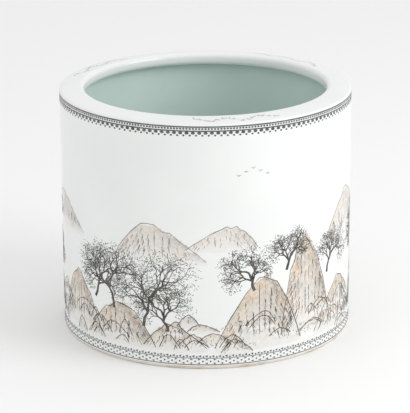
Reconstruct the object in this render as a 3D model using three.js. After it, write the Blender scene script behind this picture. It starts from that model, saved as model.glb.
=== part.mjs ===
import * as THREE from 'three';

// Brush pot: a thick-walled porcelain cylinder with a broad inward lip and an unglazed foot ring.
// Millimetres, +Z up, origin at the centre of the foot plane.

// Driving dimensions
const bodyRadius = 92.5;
const shoulderHeight = 157;
const crownRise = 1.5;
const shoulderSoftness = 1.4;
const lipWidth = 16;
const lipDepth = 8;
const noseSoftness = 3.2;
const undercutRise = 1.6;
const wallThickness = 8;
const floorThickness = 8;
const floorCove = 6;
const baseRecess = 3.5;
const footWidth = 10.6;
const footChamfer = 1;
const footSetback = 1.2;
const bareFootHeight = 2.2;
const coatThickness = 0.4;
const turns = 64;
const noseSteps = 5;
const coveSteps = 4;

// Sizes that follow
const pasteRadius = bodyRadius - coatThickness;
const wellRadius = bodyRadius - wallThickness;
const footOuter = bodyRadius - footSetback;
const footInner = footOuter - footWidth;
const floorTop = baseRecess + floorThickness;
const mouthRadius = bodyRadius - lipWidth;
const crownHeight = shoulderHeight + crownRise;
const noseBottom = crownHeight - lipDepth;
const lipSeat = noseBottom - undercutRise;
const crownRadius = mouthRadius + noseSoftness;

const porcelain = { color: 0xe9e6dc, roughness: 0.85, metalness: 0 };
const clearCoat = { color: 0xe8eceb, roughness: 0.12, metalness: 0 };
const turquoiseCoat = { color: 0xc9dcd6, roughness: 0.15, metalness: 0 };

function point(radius, height) {
  return new THREE.Vector2(radius, height);
}

// Points of an arc about a centre, from one angle to another, in degrees
function arc(radius, height, size, from, to, steps) {
  const points = [];
  for (let step = 0; step <= steps; step += 1) {
    const angle = THREE.MathUtils.degToRad(from + ((to - from) * step) / steps);
    points.push(point(radius + size * Math.cos(angle), height + size * Math.sin(angle)));
  }
  return points;
}

// A closed profile turned about the axis, with Z up
function turned(name, profile, finish) {
  const closed = profile[0].equals(profile[profile.length - 1]) ? profile : [...profile, profile[0].clone()];
  const geometry = new THREE.LatheGeometry(closed, turns);
  geometry.rotateX(Math.PI / 2);
  const mesh = new THREE.Mesh(geometry, new THREE.MeshStandardMaterial(finish));
  mesh.name = name;
  return mesh;
}

// The lip's face from its shoulder over the crown and round the nose to its underside.
// Inset is the depth below the glazed face.
function lipFace(inset) {
  const nose = noseSoftness - inset;
  return [
    point(bodyRadius - inset, shoulderHeight - shoulderSoftness),
    point(bodyRadius - shoulderSoftness, shoulderHeight - inset),
    ...arc(crownRadius, crownHeight - noseSoftness, nose, 90, 180, noseSteps),
    ...arc(crownRadius, noseBottom + noseSoftness, nose, 180, 270, noseSteps),
  ];
}

// The well's face from under the lip down the wall and over the cove to the floor
function wellFace(inset) {
  const radius = wellRadius + inset;
  const floor = floorTop - inset;
  const cove = floorCove + inset;
  return [
    point(crownRadius, noseBottom + inset),
    point(radius, lipSeat + inset),
    ...arc(radius - cove, floor + cove, cove, 0, -90, coveSteps),
  ];
}

function makeWall() {
  const face = wellFace(coatThickness).slice(1);
  const cove = face[face.length - 1];
  return turned('wall', [
    ...face,
    point(pasteRadius, cove.y),
    point(pasteRadius, face[0].y),
  ], porcelain);
}

function makeLipRing() {
  const seat = wellFace(coatThickness)[1];
  return turned('lip_ring', [
    ...lipFace(coatThickness),
    seat,
    point(pasteRadius, seat.y),
  ], porcelain);
}

function makeFootRing() {
  const seat = floorTop - coatThickness;
  return turned('foot_ring', [
    point(footInner, 0),
    point(footOuter - footChamfer, 0),
    point(footOuter, footChamfer),
    point(pasteRadius, bareFootHeight),
    point(pasteRadius, seat),
    point(footInner, seat),
  ], porcelain);
}

function makeFloorDisc() {
  const seat = floorTop - coatThickness;
  return turned('floor_disc', [
    point(0, baseRecess + coatThickness),
    point(footInner, baseRecess + coatThickness),
    point(footInner, seat),
    point(0, seat),
  ], porcelain);
}

function makeOuterGlaze() {
  const top = shoulderHeight - shoulderSoftness;
  const bottom = bareFootHeight;
  return turned('outer_glaze', [
    point(pasteRadius, bottom),
    point(bodyRadius, bottom + coatThickness),
    point(bodyRadius, top),
    point(pasteRadius, top),
  ], clearCoat);
}

function makeLipGlaze() {
  return turned('lip_glaze', [
    ...lipFace(0),
    ...lipFace(coatThickness).reverse(),
  ], clearCoat);
}

function makeInnerGlaze() {
  const face = wellFace(0);
  const back = wellFace(coatThickness);
  return turned('inner_glaze', [
    ...face,
    point(0, floorTop),
    point(0, floorTop - coatThickness),
    ...back.reverse(),
  ], turquoiseCoat);
}

function makeBaseGlaze() {
  return turned('base_glaze', [
    point(0, baseRecess),
    point(footInner - coatThickness, baseRecess),
    point(footInner - coatThickness, footChamfer + coatThickness),
    point(footInner, footChamfer),
    point(footInner, baseRecess + coatThickness),
    point(0, baseRecess + coatThickness),
  ], clearCoat);
}

const brushPot = new THREE.Group();
brushPot.name = 'brush_pot';
brushPot.add(
  makeFootRing(),
  makeFloorDisc(),
  makeWall(),
  makeLipRing(),
  makeOuterGlaze(),
  makeLipGlaze(),
  makeInnerGlaze(),
  makeBaseGlaze(),
);

export default brushPot;
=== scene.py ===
import math
import random

import bmesh
import bpy
import numpy as np
from mathutils import Matrix, Vector


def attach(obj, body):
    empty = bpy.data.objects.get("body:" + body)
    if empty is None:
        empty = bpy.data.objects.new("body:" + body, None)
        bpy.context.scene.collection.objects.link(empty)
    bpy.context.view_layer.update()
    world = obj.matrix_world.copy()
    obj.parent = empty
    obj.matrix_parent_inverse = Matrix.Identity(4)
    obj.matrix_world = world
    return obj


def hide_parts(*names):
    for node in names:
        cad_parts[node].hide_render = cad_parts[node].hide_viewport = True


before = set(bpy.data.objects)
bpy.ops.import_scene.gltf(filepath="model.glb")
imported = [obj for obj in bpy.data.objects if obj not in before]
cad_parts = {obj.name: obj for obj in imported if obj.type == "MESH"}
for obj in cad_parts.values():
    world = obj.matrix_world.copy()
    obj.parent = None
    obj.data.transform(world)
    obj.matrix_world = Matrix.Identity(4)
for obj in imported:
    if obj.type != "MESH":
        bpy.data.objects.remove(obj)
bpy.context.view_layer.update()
print("stage: frame loaded")

# sizes are in mm, and become metres where a mesh is made
mm = 0.001
pot = {
    "radius": 92.5, "shoulder": 157.0, "crownRise": 1.5, "shoulderSoft": 1.4,
    "lipWidth": 16.0, "lipDepth": 8.0, "noseSoft": 3.2, "undercut": 1.6,
    "wall": 8.0, "floor": 8.0, "cove": 6.0, "recess": 3.5, "coat": 0.4, "enamel": 0.08,
    "footWidth": 10.6, "footChamfer": 1.0, "footSetback": 1.2, "bareFoot": 2.2,
}
turning = {
    "steps": 256, "coatSteps": 512, "coatRows": 130, "arcSteps": 8, "shoulderSteps": 6,
    "chamferSteps": 5, "weld": 1e-6, "sharpDegrees": 40,
}
paste = pot["radius"] - pot["coat"]
wellRadius = pot["radius"] - pot["wall"]
mouthRadius = pot["radius"] - pot["lipWidth"]
crown = pot["shoulder"] + pot["crownRise"]
crownRadius = mouthRadius + pot["noseSoft"]
noseBottom = crown - pot["lipDepth"]
lipSeat = noseBottom - pot["undercut"]
floorTop = pot["recess"] + pot["floor"]
footOuter = pot["radius"] - pot["footSetback"]
footInner = footOuter - pot["footWidth"]


def arc(radius, height, size, start, end, steps):
    turn = [math.radians(start + (end - start) * i / steps) for i in range(steps + 1)]
    return [(radius + size * math.cos(a), height + size * math.sin(a)) for a in turn]


def link(obj):
    bpy.context.scene.collection.objects.link(obj)
    return obj


# a closed profile of radius and height turned about the pot's axis
def spun(name, profile, steps=turning["steps"]):
    bm = bmesh.new()
    ring = [bm.verts.new((r * mm, 0, z * mm)) for r, z in profile]
    edges = [bm.edges.new((a, b)) for a, b in zip(ring, ring[1:])]
    if min(r for r, z in profile) > 0:
        edges.append(bm.edges.new((ring[-1], ring[0])))
    bmesh.ops.spin(bm, geom=ring + edges, cent=(0, 0, 0), axis=(0, 0, 1),
                   angle=math.tau, steps=steps, use_merge=True)
    bmesh.ops.remove_doubles(bm, verts=bm.verts, dist=turning["weld"])
    bmesh.ops.recalc_face_normals(bm, faces=bm.faces)
    mesh = bpy.data.meshes.new(name)
    bm.to_mesh(mesh)
    bm.free()
    mesh.shade_smooth()
    mesh.set_sharp_from_angle(angle=math.radians(turning["sharpDegrees"]))
    return link(bpy.data.objects.new(name, mesh))


# the lip's face over shoulder, crown and nose
def lipFace(inset):
    nose, soft, steps = pot["noseSoft"] - inset, pot["shoulderSoft"], turning["arcSteps"]
    return (arc(pot["radius"] - soft, pot["shoulder"] - soft, soft - inset, 0, 90, turning["shoulderSteps"])
            + arc(crownRadius, crown - pot["noseSoft"], nose, 90, 180, steps)
            + arc(crownRadius, noseBottom + pot["noseSoft"], nose, 180, 270, steps))


# the well's face from under the lip down to the floor
def wellFace(inset):
    radius, floor, cove = wellRadius + inset, floorTop - inset, pot["cove"] + inset
    return ([(crownRadius, noseBottom + inset), (radius, lipSeat + inset)]
            + arc(radius - cove, floor + cove, cove, 0, -90, turning["arcSteps"]))


def place(piece, slot, material, *nodes):
    piece.data.materials.append(material)
    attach(piece, "root")
    if nodes:
        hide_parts(*nodes)
    return piece


# short way to build a node material
class Shade:
    def __init__(self, name):
        self.mat = bpy.data.materials.new(name)
        self.mat.use_nodes = True
        self.tree = self.mat.node_tree
        self.bsdf = self.tree.nodes["Principled BSDF"]
        self.coords = self.tree.nodes.new("ShaderNodeTexCoord").outputs["Object"]

    def node(self, kind, inputs=(), **settings):
        made = self.tree.nodes.new(kind)
        for key, value in settings.items():
            setattr(made, key, value)
        for key, value in dict(inputs).items():
            self.feed(made.inputs[key], value)
        return made

    def feed(self, socket, value):
        if isinstance(value, bpy.types.NodeSocket):
            self.tree.links.new(value, socket)
        else:
            socket.default_value = value

    def paint(self, value):
        self.feed(self.bsdf.inputs["Base Color"], value)

    def polish(self, value):
        self.feed(self.bsdf.inputs["Roughness"], value)

    def noise(self, scale, detail=4.0, rough=0.5):
        return self.node("ShaderNodeTexNoise", {"Vector": self.coords, "Scale": scale,
                         "Detail": detail, "Roughness": rough}).outputs["Fac"]

    def spread(self, value, low, high, toLow=0.0, toHigh=1.0):
        return self.node("ShaderNodeMapRange", {"Value": value, "From Min": low, "From Max": high,
                         "To Min": toLow, "To Max": toHigh}).outputs["Result"]

    def times(self, a, b):
        return self.node("ShaderNodeMath", {0: a, 1: b}, operation="MULTIPLY").outputs[0]

    # the colour sockets of a Mix node are 6 and 7 in, and 2 out
    def mix(self, fac, a, b):
        return self.node("ShaderNodeMix", {0: fac, 6: a, 7: b}, data_type="RGBA").outputs[2]

    def bump(self, height, strength, distance):
        made = self.node("ShaderNodeBump", {"Height": height, "Strength": strength, "Distance": distance})
        self.feed(self.bsdf.inputs["Normal"], made.outputs["Normal"])


# a noise is scale per metre, detail and roughness, and a band is the part of it that is stretched
clayLook = {
    "grit": (900, 5, 0.6), "gritBand": (0.35, 0.65), "stain": (60, 4), "stainBand": (0.5, 0.72),
    "dark": (0.72, 0.68, 0.6, 1), "light": (0.8, 0.77, 0.7, 1), "stained": (0.55, 0.44, 0.32, 1),
    "roughness": (0.75, 0.92), "pits": (1400, 4, 0.7), "pitStrength": 0.4, "pitDepth": 0.0002,
}
bare = Shade("barePorcelain")
grit = bare.spread(bare.noise(*clayLook["grit"]), *clayLook["gritBand"])
stain = bare.spread(bare.noise(*clayLook["stain"]), *clayLook["stainBand"])
clay = bare.mix(grit, clayLook["dark"], clayLook["light"])
bare.paint(bare.mix(stain, clay, clayLook["stained"]))
bare.polish(bare.spread(grit, 0, 1, *clayLook["roughness"]))
bare.bump(bare.noise(*clayLook["pits"]), clayLook["pitStrength"], clayLook["pitDepth"])

glazeLook = {
    "pools": (28, 3), "poolBand": (0.35, 0.7), "sheen": (90, 4), "sheenBand": (0.3, 0.7, 0.1, 0.16),
    "ripples": (160, 2), "rippleStrength": 0.12, "rippleDepth": 0.0003, "ior": 1.5,
}


# a coat's even colour, and its colour where it pools
def glaze(name, even, pooled):
    s = Shade(name)
    pools = s.spread(s.noise(*glazeLook["pools"]), *glazeLook["poolBand"])
    s.paint(s.mix(pools, even, pooled))
    s.polish(s.spread(s.noise(*glazeLook["sheen"]), *glazeLook["sheenBand"]))
    s.bump(s.noise(*glazeLook["ripples"]), glazeLook["rippleStrength"], glazeLook["rippleDepth"])
    s.bsdf.inputs["IOR"].default_value = glazeLook["ior"]
    return s


# ochre and grey washes, where the outer coat's vertices say
washLook = {
    "speckle": (420, 6, 0.7), "speckleBand": (0.38, 0.62, 0.45, 1.0), "patches": (110, 4),
    "patchBand": (0.4, 0.62), "ochre": (0.60, 0.42, 0.26, 1), "umber": (0.42, 0.34, 0.25, 1),
    "shadow": (0.16, 0.15, 0.14, 1),
}
outside = glaze("paintedGlaze", (0.86, 0.87, 0.86, 1), (0.83, 0.85, 0.84, 1))
warmth = outside.node("ShaderNodeAttribute", attribute_name="wash").outputs["Fac"]
darkness = outside.node("ShaderNodeAttribute", attribute_name="shade").outputs["Fac"]
speckle = outside.spread(outside.noise(*washLook["speckle"]), *washLook["speckleBand"])
glazed = outside.bsdf.inputs["Base Color"].links[0].from_socket
patches = outside.spread(outside.noise(*washLook["patches"]), *washLook["patchBand"])
ochre = outside.mix(patches, washLook["ochre"], washLook["umber"])
washed = outside.mix(outside.times(warmth, speckle), glazed, ochre)
outside.paint(outside.mix(outside.times(darkness, speckle), washed, washLook["shadow"]))
lipCoat = glaze("lipGlaze", (0.86, 0.87, 0.86, 1), (0.82, 0.84, 0.83, 1))
inside = glaze("turquoiseGlaze", (0.66, 0.77, 0.73, 1), (0.62, 0.74, 0.70, 1))
underside = glaze("baseGlaze", (0.80, 0.83, 0.82, 1), (0.75, 0.79, 0.78, 1))
print("stage: materials made")

# the outer coat has rows close enough to carry the washes
coat, recess, chamfer, rowCount = pot["coat"], pot["recess"], pot["footChamfer"], turning["coatRows"]
top, bottom = pot["shoulder"] - pot["shoulderSoft"], pot["bareFoot"]
face = pot["radius"] - pot["enamel"]
rows = [(face, bottom + coat + (top - bottom - coat) * i / rowCount) for i in range(rowCount + 1)]
outerGlaze = spun("outerGlazeCoat", [(paste, bottom)] + rows + [(paste, top)], turning["coatSteps"])
place(outerGlaze, "painted_glaze", outside.mat, "outer_glaze")
lipGlaze = spun("lipGlazeCoat", lipFace(0) + lipFace(coat)[::-1])
place(lipGlaze, "lip_glaze", lipCoat.mat, "lip_glaze")
innerGlaze = spun("turquoiseLining", wellFace(0) + [(0, floorTop), (0, floorTop - coat)]
                  + wellFace(coat)[::-1] + [wellFace(0)[0]])
place(innerGlaze, "turquoise_glaze", inside.mat, "inner_glaze")
footCorner = arc(footOuter - chamfer, chamfer, chamfer, -90, 0, turning["chamferSteps"])
footRing = spun("footRing", [(footInner, 0), (footOuter - chamfer, 0)] + footCorner[1:]
                + [(paste, bottom), (paste, floorTop - coat), (footInner, floorTop - coat)])
place(footRing, "bare_porcelain", bare.mat, "foot_ring")
baseGlaze = spun("baseGlazeCoat", [
    (0, recess), (footInner - coat, recess), (footInner - coat, chamfer + coat),
    (footInner, chamfer), (footInner, recess + coat), (0, recess + coat)])
place(baseGlaze, "base_glaze", underside.mat, "base_glaze")
for name in ("wall", "lip_ring", "floor_disc"):
    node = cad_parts[name]
    node.data.materials.clear()
    node.data.materials.append(bare.mat)
print("stage: pot turned")

# the painting is laid out flat first: along the wall from the front, and up, both in mm
brush = {"seed": 41, "proud": 0.06, "sunk": 0.3, "flatten": 0.5, "thinnest": 0.06, "tip": 0.1}
girth = math.tau * pot["radius"]
hand = random.Random(brush["seed"])


def newCurve(name):
    data = bpy.data.curves.new(name, "CURVE")
    data.dimensions, data.bevel_depth, data.bevel_resolution = "3D", 1.0, 0
    data.use_fill_caps = True
    return data


def stroke(data, points, widths):
    line = data.splines.new("POLY")
    line.points.add(len(points) - 1)
    for spot, (along, up), width in zip(line.points, points, widths):
        spot.co, spot.radius = (along, 0, up, 1), max(width, brush["thinnest"]) / 2


def taper(points, wide, thin=brush["tip"]):
    last = max(1, len(points) - 1)
    return [thin + (wide - thin) * (1 - i / last) for i in range(len(points))]


# the two ends stay where they are, though each point draws
def wobble(start, end, steps, sway):
    (a, b), (c, d) = start, end
    return [(a + (c - a) * i / steps + hand.uniform(-sway, sway) * (0 < i < steps),
             b + (d - b) * i / steps + hand.uniform(-sway, sway) * (0 < i < steps)) for i in range(steps + 1)]


# the strokes' tubes as one mesh, still flat, without their curve
def tubes(data, name):
    obj = link(bpy.data.objects.new(name + "Line", data))
    mesh = bpy.data.meshes.new_from_object(obj.evaluated_get(bpy.context.evaluated_depsgraph_get()))
    bpy.data.objects.remove(obj)
    mesh.name = name
    return mesh


def finished(bm, mesh, name):
    bmesh.ops.recalc_face_normals(bm, faces=bm.faces)
    bm.to_mesh(mesh)
    bm.free()
    return link(bpy.data.objects.new(name, mesh))


# strokes wrapped round the wall, from the flat layout in mm to the pot in metres
def fired(data, name, material):
    mesh = tubes(data, name)
    bm = bmesh.new()
    bm.from_mesh(mesh)
    for v in bm.verts:
        angle = v.co.x / pot["radius"]
        raised = max(-brush["sunk"], min(brush["proud"], v.co.y * brush["flatten"]))
        depth = pot["radius"] - brush["proud"] + raised
        v.co = (depth * math.sin(angle) * mm, -depth * math.cos(angle) * mm, v.co.z * mm)
    return place(finished(bm, mesh, name), "painted_glaze", material)


enamelLook = {
    "grain": (180, 3), "grainBand": (0.35, 0.65), "sheen": (300, 2), "sheenBand": (0.3, 0.7, 0.18, 0.32),
}


def enamel(name, dark, light):
    s = Shade(name)
    s.paint(s.mix(s.spread(s.noise(*enamelLook["grain"]), *enamelLook["grainBand"]), dark, light))
    s.polish(s.spread(s.noise(*enamelLook["sheen"]), *enamelLook["sheenBand"]))
    return s.mat


ink = newCurve("ink")
faint = newCurve("faint")
leaf = newCurve("leaf")
coral = newCurve("coral")
crags = []

rock = {
    "lean": 0.25, "peaks": 9, "peakRange": (0.7, 1.3), "ridgePoints": 15, "roundness": 1.7,
    "even": 0.72, "jagged": 0.28, "ridgeWidth": 0.35, "ridgeSwell": 0.3, "areaPerStroke": 14,
    "drop": (0.1, 0.8), "inward": 0.3, "slant": 1.6, "reach": (2, 5.5), "fullHeight": 22,
    "shake": 0.2, "stops": (0, 0.35, 0.7, 1), "overrun": 1, "strokeWidth": (0.2, 0.5),
}


# a ridge line over texture strokes that run down from it
def crag(along, base, width, height, pen, strength):
    lean = hand.uniform(-rock["lean"], rock["lean"])
    peak = [hand.uniform(*rock["peakRange"]) for i in range(rock["peaks"])]
    ridge = []
    for i in range(rock["ridgePoints"]):
        x = -1 + 2 * i / (rock["ridgePoints"] - 1)
        jag = rock["even"] + rock["jagged"] * peak[i % rock["peaks"]]
        rise = (1 - abs(x) ** rock["roundness"]) * height * jag
        ridge.append((along + (x + lean * rise / height) * width / 2, base + rise))
    stroke(pen, ridge, [rock["ridgeWidth"] + rock["ridgeSwell"] * hand.random() for p in ridge])
    for n in range(int(width * height / rock["areaPerStroke"])):
        a, b = ridge[hand.randrange(1, rock["ridgePoints"] - 2)]
        drop = hand.uniform(*rock["drop"])
        startAlong, startUp = a + (along - a) * drop * rock["inward"], b - (b - base) * drop
        slant = (a - along) / width * rock["slant"]
        reach = hand.uniform(*rock["reach"]) * min(1, height / rock["fullHeight"])
        pts = [(startAlong + slant * t * reach + hand.uniform(-rock["shake"], rock["shake"]),
                startUp - t * reach) for t in rock["stops"]]
        if pts[-1][1] > base - rock["overrun"]:
            stroke(pen, pts, taper(pts, hand.uniform(*rock["strokeWidth"])))
    crags.append((along, base, width, height, lean, strength))


dab = {"flatten": 0.6, "halfLong": 0.45, "halfTall": 0.3, "tip": 0.12, "width": (0.3, 0.6)}


# a cluster of short dabs
def foliage(pen, along, up, size, count):
    for n in range(count):
        a, r = hand.uniform(0, math.tau), size * math.sqrt(hand.random())
        x, z = along + r * math.cos(a), up + r * dab["flatten"] * math.sin(a)
        turn = hand.uniform(0, math.pi)
        across, rise = dab["halfLong"] * math.cos(turn), dab["halfTall"] * math.sin(turn)
        pts = [(x - across, z - rise), (x, z), (x + across, z + rise)]
        stroke(pen, pts, [dab["tip"], hand.uniform(*dab["width"]), dab["tip"]])


bough = {
    "width": 2.0, "forks": 4, "twinForks": 2, "steps": 4, "sway": 0.07, "thinning": 0.62,
    "forkPoints": (2, 3, 4), "shortening": (0.6, 0.8), "turning": (0.35, 0.95),
    "leafSpread": 1.1, "leaves": 16,
}


# a bough that forks into smaller ones, with dabs at the last tips
def tree(along, up, size, angle, width=bough["width"], forks=bough["forks"]):
    end = (along + size * math.sin(angle), up + size * math.cos(angle))
    pts = wobble((along, up), end, bough["steps"], size * bough["sway"])
    stroke(ink, pts, taper(pts, width, width * bough["thinning"]))
    if forks == 0:
        foliage(leaf, end[0], end[1], size * bough["leafSpread"], bough["leaves"])
        return
    for side in (-1, 1):
        for n in range(2 if forks > bough["twinForks"] else 1):
            root = pts[hand.choice(bough["forkPoints"])]
            length = size * hand.uniform(*bough["shortening"])
            turned = angle + side * hand.uniform(*bough["turning"])
            tree(*root, length, turned, width * bough["thinning"], forks - 1)


# a crag's row is along, base, width and height, and a tree's is along, up, size and lean
scenery = {
    "near": [(-96, 16, 46, 34), (-58, 13, 52, 26), (-20, 14, 40, 15), (34, 14, 58, 44), (70, 18, 44, 62),
             (100, 14, 50, 30), (150, 15, 60, 40), (205, 14, 54, 24), (250, 14, 60, 46), (-140, 14, 50, 22)],
    "far": [(-30, 70, 60, 22), (10, 78, 44, 14), (118, 72, 62, 26), (190, 74, 70, 24), (-120, 76, 60, 20),
            (255, 80, 54, 16)],
    "trees": [(-78, 38, 15, 0.3), (-62, 34, 17, -0.25), (-40, 26, 19, 0.2), (-24, 24, 14, -0.3),
              (30, 50, 12, -0.3), (52, 60, 11, 0.3), (88, 50, 13, 0.4), (146, 44, 16, -0.2),
              (170, 36, 15, 0.3), (232, 40, 17, 0.1), (262, 52, 13, -0.3), (-150, 30, 16, 0.2)],
    "nearWash": 1.0, "farWash": 0.6, "stoneWash": 0.8,
    "stones": 90, "stoneBase": (10, 30), "stoneWidth": (9, 24), "stoneHeight": (4, 10),
    "bushes": 70, "bushUp": (14, 30), "bushSize": 3, "bushDabs": 9,
    "blossoms": 22, "blossomStray": 20, "blossomUp": (22, 50), "blossomSize": 2.2, "blossomDabs": 6,
}
flock = {
    "birds": 5, "start": 20, "gap": 4.6, "height": 128, "drop": 2.2,
    "wings": [(-1.5, 0.6), (-0.5, 0.9), (0, 0), (0.5, 0.9), (1.5, 0.7)],
    "widths": [0.1, 0.3, 0.35, 0.3, 0.1],
}
for spot in scenery["near"]:
    crag(*spot, ink, scenery["nearWash"])
for spot in scenery["far"]:
    crag(*spot, faint, scenery["farWash"])
for n in range(scenery["stones"]):
    crag(hand.uniform(0, girth) - girth / 2, hand.uniform(*scenery["stoneBase"]),
         hand.uniform(*scenery["stoneWidth"]), hand.uniform(*scenery["stoneHeight"]),
         ink, scenery["stoneWash"])
for spot in scenery["trees"]:
    tree(*spot)
for n in range(scenery["bushes"]):
    foliage(leaf, hand.uniform(0, girth) - girth / 2, hand.uniform(*scenery["bushUp"]),
            scenery["bushSize"], scenery["bushDabs"])
for n in range(scenery["blossoms"]):
    near = hand.choice(scenery["near"])[0]
    along = near + hand.uniform(-scenery["blossomStray"], scenery["blossomStray"])
    foliage(coral, along, hand.uniform(*scenery["blossomUp"]),
            scenery["blossomSize"], scenery["blossomDabs"])
for n in range(flock["birds"]):
    along = flock["start"] + n * flock["gap"]
    up = flock["height"] - abs(n - flock["birds"] // 2) * flock["drop"]
    stroke(ink, [(along + x, up + z) for x, z in flock["wings"]], flock["widths"])

washes = {"below": 2, "thinnest": 0.1, "atFoot": 0.25, "gain": 0.75, "shadow": 0.75, "shadowEdge": 1.4}


# washes laid inside the crags, strong at the ridge and fading to the foot
def layWashes(mesh):
    count = len(mesh.vertices)
    co = np.empty(count * 3)
    mesh.vertices.foreach_get("co", co)
    x, y, z = co.reshape(-1, 3).T / mm
    along = np.arctan2(x, -y) * pot["radius"]
    warm, dark = np.zeros(count), np.zeros(count)
    for mid, base, width, height, lean, strength in crags:
        off = (along - mid + girth / 2) % girth - girth / 2
        side = np.clip((off - lean * (z - base) * width / height / 2) / (width / 2), -1, 1)
        roof = (1 - np.abs(side) ** rock["roundness"]) * height
        within = (z > base - washes["below"]) & (z < base + roof) & (np.abs(side) < 1)
        depth = np.clip((z - base) / np.maximum(roof, washes["thinnest"]), 0, 1)
        shadow = strength * washes["shadow"] * np.clip(side * washes["shadowEdge"], 0, 1) * depth
        warm = np.where(within, strength * (washes["atFoot"] + washes["gain"] * depth), warm)
        dark = np.where(within, shadow, dark)
    for name, values in (("wash", warm), ("shade", dark)):
        mesh.attributes.new(name, "FLOAT", "POINT").data.foreach_set("value", values.astype(np.float32))


layWashes(outerGlaze.data)
inkBlack = enamel("inkEnamel", (0.035, 0.032, 0.03, 1), (0.11, 0.1, 0.09, 1))
inkGrey = enamel("greyEnamel", (0.23, 0.2, 0.17, 1), (0.38, 0.33, 0.28, 1))
leafInk = enamel("leafEnamel", (0.07, 0.07, 0.06, 1), (0.2, 0.19, 0.15, 1))
coralRed = enamel("coralEnamel", (0.5, 0.16, 0.09, 1), (0.66, 0.3, 0.17, 1))
fired(ink, "inkStrokes", inkBlack)
fired(faint, "farHillStrokes", inkGrey)
fired(leaf, "leafDabs", leafInk)
fired(coral, "coralDabs", coralRed)
print("stage: painting fired on")

spray = {
    "radius": 85.5, "sway": 2.2, "beat": 1.1, "joints": 7, "stemLength": 3.4, "stemWidths": [0.35, 0.3],
    "leaves": 4, "leafLong": 2.2, "leafTall": 1.8, "leafWidths": [0.1, 0.95, 0.1],
    "edgeGap": 0.3, "sunk": 0.1, "proud": 0.05, "spreadDegrees": 17,
    "middles": {"frontSpray": 12, "rightSpray": 138, "leftSpray": 236},
}


def stemRadius(n):
    return spray["radius"] + spray["sway"] * math.sin(n * spray["beat"])


# a grey spray painted on the lip: a waving stem with leaves at each joint
def lipSpray(middle, spread):
    data = newCurve("spray")
    for n in range(-spray["joints"], spray["joints"] + 1):
        turn = middle + spread * n / spray["joints"]
        here = (turn * spray["radius"], stemRadius(n))
        there = (here[0] + spray["stemLength"], stemRadius(n + 1))
        stroke(data, [here, there], spray["stemWidths"])
        for k in range(spray["leaves"]):
            tilt = hand.uniform(0, math.tau)
            tip = (here[0] + spray["leafLong"] * math.cos(tilt), here[1] + spray["leafTall"] * math.sin(tilt))
            half = ((here[0] + tip[0]) / 2, (here[1] + tip[1]) / 2)
            stroke(data, [here, half, tip], spray["leafWidths"])
    return data


# strokes laid round the lip, lowered to its crown's slope
def firedOnLip(data, name):
    mesh = tubes(data, name)
    flat = pot["radius"] - pot["shoulderSoft"]
    for v in mesh.vertices:
        angle, radius = v.co.x / spray["radius"], min(v.co.z, flat - spray["edgeGap"])
        up = pot["shoulder"] + (flat - radius) / (flat - crownRadius) * pot["crownRise"]
        raised = max(-spray["sunk"], min(spray["proud"], v.co.y))
        v.co = (radius * math.sin(angle) * mm, -radius * math.cos(angle) * mm, (up + raised) * mm)
    bm = bmesh.new()
    bm.from_mesh(mesh)
    return place(finished(bm, mesh, name), "lip_glaze", sprayGrey)


sprayGrey = enamel("sprayEnamel", (0.42, 0.43, 0.43, 1), (0.56, 0.57, 0.57, 1))
for name, middle in spray["middles"].items():
    firedOnLip(lipSpray(math.radians(middle), math.radians(spray["spreadDegrees"])), name)

relief = {"thick": 0.3, "footSize": 0.5, "crestSize": 0.42}


# a raised dot or triangle pressed on the wall
def stamp(bm, angle, up, wide, tall, sides, turn):
    out = pot["radius"] - relief["thick"] / 2
    spot = Matrix.Rotation(angle, 4, "Z") @ Matrix.Translation((0, -out * mm, up * mm))
    size = Matrix.Diagonal((wide * mm, tall * mm, relief["thick"] * mm, 1))
    spot = spot @ Matrix.Rotation(math.radians(90), 4, "X") @ size
    bmesh.ops.create_cone(bm, cap_ends=True, segments=sides, radius1=relief["footSize"],
                          radius2=relief["crestSize"], depth=1, matrix=spot @ Matrix.Rotation(turn, 4, "Z"))


def hoop(bm, up, tall):
    low, high = (up - tall / 2) * mm, (up + tall / 2) * mm
    back, front = (pot["radius"] - relief["thick"]) * mm, pot["radius"] * mm
    ring = [bm.verts.new((x, 0, z)) for x, z in ((back, low), (front, low), (front, high), (back, high))]
    edges = [bm.edges.new((ring[i], ring[(i + 1) % 4])) for i in range(4)]
    bmesh.ops.spin(bm, geom=ring + edges, cent=(0, 0, 0), axis=(0, 0, 1),
                   angle=math.tau, steps=turning["steps"], use_merge=True)


def border(name, hoops, stamps):
    bm = bmesh.new()
    for up, tall in hoops:
        hoop(bm, up, tall)
    for count, phase, up, wide, tall, sides, turn in stamps:
        for i in range(count):
            stamp(bm, (i + phase) / count * math.tau, up, wide, tall, sides, turn)
    return place(finished(bm, bpy.data.meshes.new(name), name), "painted_glaze", borderInk)


# a hoop is up and tall, and a stamp is count, phase, up, wide, tall, sides and turn
quarter = math.radians(90)
upper = {
    "hoops": [(155.2, 0.9), (152.6, 0.8)],
    "stamps": [(306, 0, 154.0, 1.7, 1.3, 10, 0), (153, 0, 151.4, 2.9, 2.1, 10, 0),
               (153, 0.5, 149.9, 1.6, 1.4, 8, 0)],
}
lower = {
    "hoops": [(3.3, 0.5), (7.6, 0.4)],
    "stamps": [(121, 0, 4.3, 2.6, 1.6, 3, quarter), (121, 0, 6.7, 2.6, 1.6, 3, -quarter),
               (121, 0.5, 5.5, 1.3, 1.3, 8, 0), (142, 0, 8.9, 2.6, 2.2, 3, quarter),
               (142, 0.5, 8.5, 1.4, 1.2, 8, 0)],
}
borderInk = enamel("borderEnamel", (0.06, 0.06, 0.065, 1), (0.14, 0.14, 0.145, 1))
border("upperBorder", upper["hoops"], upper["stamps"])
border("lowerBorder", lower["hoops"], lower["stamps"])
print("stage: borders set")

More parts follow.
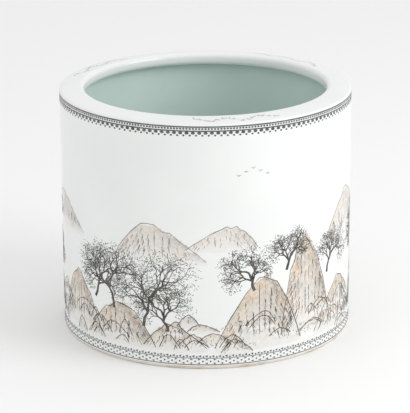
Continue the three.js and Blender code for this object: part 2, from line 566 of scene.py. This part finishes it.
# camera at the photograph's viewing angle, its distances in pot radii and its angles in degrees
view = {
    "back": 15.037, "rise": 5.632, "pitch": 17.737, "yaw": -0.026, "roll": -0.317,
    "focalPixels": 2265.3, "longSide": 413, "sensor": 36.0,
}
potRadius = pot["radius"] * mm
pitch, yaw, roll = (math.radians(view[key]) for key in ("pitch", "yaw", "roll"))
forward = Vector((math.sin(yaw) * math.cos(pitch), math.cos(yaw) * math.cos(pitch), -math.sin(pitch)))
level = Vector((math.cos(yaw), -math.sin(yaw), 0))
upright = level.cross(forward)
right = math.cos(roll) * level + math.sin(roll) * upright
above = -math.sin(roll) * level + math.cos(roll) * upright
camera = link(bpy.data.objects.new("camera", bpy.data.cameras.new("camera")))
camera.matrix_world = Matrix((right, above, -forward)).transposed().to_4x4()
camera.location = (0, -view["back"] * potRadius, view["rise"] * potRadius)
camera.data.sensor_width = view["sensor"]
camera.data.lens = view["focalPixels"] / view["longSide"] * view["sensor"]
bpy.context.scene.camera = camera

# floor and studio light, in metres and watts
studioLook = {
    "floorSize": 30, "paperScale": 3, "paperDark": (0.93, 0.93, 0.93, 1),
    "paperLight": (0.95, 0.95, 0.95, 1), "paperRoughness": 1.0,
    "sky": (1, 1, 1, 1), "skyStrength": 0.85, "aim": (0, 0, 0.08),
}
floorMesh = bmesh.new()
bmesh.ops.create_grid(floorMesh, x_segments=1, y_segments=1, size=studioLook["floorSize"])
floor = link(bpy.data.objects.new("floor", bpy.data.meshes.new("floor")))
floorMesh.to_mesh(floor.data)
floorMesh.free()
paper = Shade("paper")
fibres = paper.noise(studioLook["paperScale"])
paper.paint(paper.mix(fibres, studioLook["paperDark"], studioLook["paperLight"]))
paper.polish(studioLook["paperRoughness"])
floor.data.materials.append(paper.mat)
studio = bpy.data.worlds.new("studio")
studio.use_nodes = True
studio.node_tree.nodes["Background"].inputs["Color"].default_value = studioLook["sky"]
studio.node_tree.nodes["Background"].inputs["Strength"].default_value = studioLook["skyStrength"]
bpy.context.scene.world = studio
bpy.context.scene.view_settings.view_transform = "Standard"


def softbox(name, spot, size, watts):
    lamp = bpy.data.lights.new(name, "AREA")
    lamp.shape, lamp.size, lamp.energy = "SQUARE", size, watts
    obj = link(bpy.data.objects.new(name, lamp))
    obj.location = spot
    obj.rotation_euler = (Vector(studioLook["aim"]) - Vector(spot)).to_track_quat("-Z", "Y").to_euler()


softbox("keyLight", (1.1, -0.5, 0.8), 0.8, 7)
softbox("fillLight", (-1.1, -0.6, 0.8), 0.9, 0.5)
print("stage: camera and lights placed")
